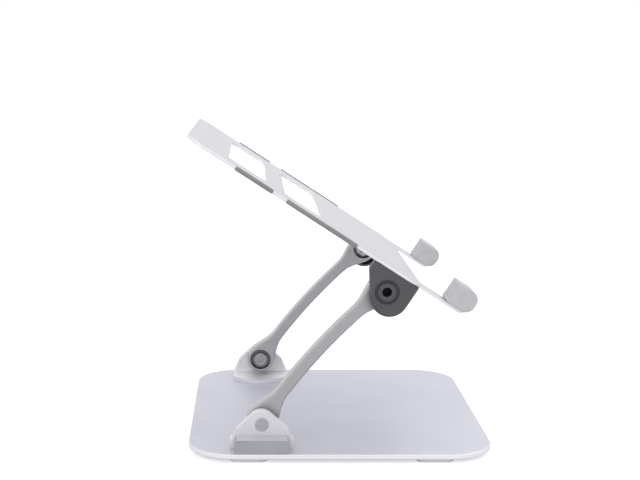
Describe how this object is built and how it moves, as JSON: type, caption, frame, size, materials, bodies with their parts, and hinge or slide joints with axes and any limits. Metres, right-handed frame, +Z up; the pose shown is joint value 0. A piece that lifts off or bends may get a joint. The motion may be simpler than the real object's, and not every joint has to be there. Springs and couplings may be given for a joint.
{
  "type": "laptop stand",
  "caption": "Folding laptop stand: a windowed tray with padded front hooks tilts on friction hinges at the tops of paired swinging arms, above a flat base plate.",
  "frame": {"origin": "on the table plane, under the middle of the base plate", "axes": "+X towards the user, where the hooks are; +Y towards the user's right hand; +Z up. The stand is stored with the arms at 48 degrees and the tray tilted 33 degrees, its rear edge high. Left pieces are on the -Y side."},
  "size_m": [0.23, 0.24, 0.2412],
  "materials": {
    "base_aluminium": "fine bead-blasted, clear anodised, pale silver",
    "tray_aluminium": "fine bead-blasted, clear anodised, pale silver",
    "arm_aluminium": "satin silver powder coat on a die casting",
    "bracket_casting": "satin silver powder coat on a die casting",
    "foot_silicone": "milky grey silicone",
    "pad_silicone": "light grey matt silicone",
    "grip_rubber": "dark grey matt silicone",
    "bracket_cover_plastic": "fine spark-eroded texture, mid grey",
    "hinge_cover_plastic": "fine spark-eroded texture, dark grey",
    "cap_plastic": "smooth satin, grey",
    "friction_nylon": "turned, black",
    "leaf_steel": "pressed and zinc plated",
    "screw_steel": "zinc plated",
    "black_screw_steel": "dark oxide"
  },
  "bodies": {
    "base": {"base_plate": "base_aluminium", "base_feet": "foot_silicone", "foot_bracket_left": "bracket_casting", "foot_bracket_right": "bracket_casting", "bracket_cover_left": "bracket_cover_plastic", "bracket_cover_right": "bracket_cover_plastic", "bracket_screws": "screw_steel", "lower_pivot_screw_left": "screw_steel", "lower_pivot_screw_right": "screw_steel", "lower_pivot_cap_left": "cap_plastic", "lower_pivot_cap_right": "cap_plastic", "lower_friction_washer_left": "friction_nylon", "lower_friction_washer_right": "friction_nylon", "lower_spring_washers_left": "screw_steel", "lower_spring_washers_right": "screw_steel"},
    "arms": {"arm_left": "arm_aluminium", "arm_right": "arm_aluminium"},
    "tray": {"upper_friction_washer_left": "friction_nylon", "upper_friction_washer_right": "friction_nylon", "upper_spring_washers_left": "screw_steel", "upper_spring_washers_right": "screw_steel", "upper_pivot_screw_left": "black_screw_steel", "upper_pivot_screw_right": "black_screw_steel", "upper_nut_left": "screw_steel", "upper_nut_right": "screw_steel", "hinge_leaf_left": "leaf_steel", "hinge_leaf_right": "leaf_steel", "hinge_cover_left": "hinge_cover_plastic", "hinge_cover_right": "hinge_cover_plastic", "leaf_screws": "screw_steel", "tray_plate": "tray_aluminium", "hook_pad_left": "pad_silicone", "hook_pad_right": "pad_silicone", "edge_grip_front_left": "grip_rubber", "edge_grip_front_right": "grip_rubber", "edge_grip_rear_left": "grip_rubber", "edge_grip_rear_right": "grip_rubber"}
  },
  "joints": [
    {"name": "arm_lift", "type": "hinge", "parent": "base", "child": "arms", "pos_m": [-0.0594, 0, 0.0257], "axis": [0, -1, 0], "range_deg": [-23, 30]},
    {"name": "tray_tilt", "type": "hinge", "parent": "arms", "child": "tray", "pos_m": [0.03187, 0, 0.12707], "axis": [0, 1, 0], "range_deg": [-55, 57]}
  ]
}
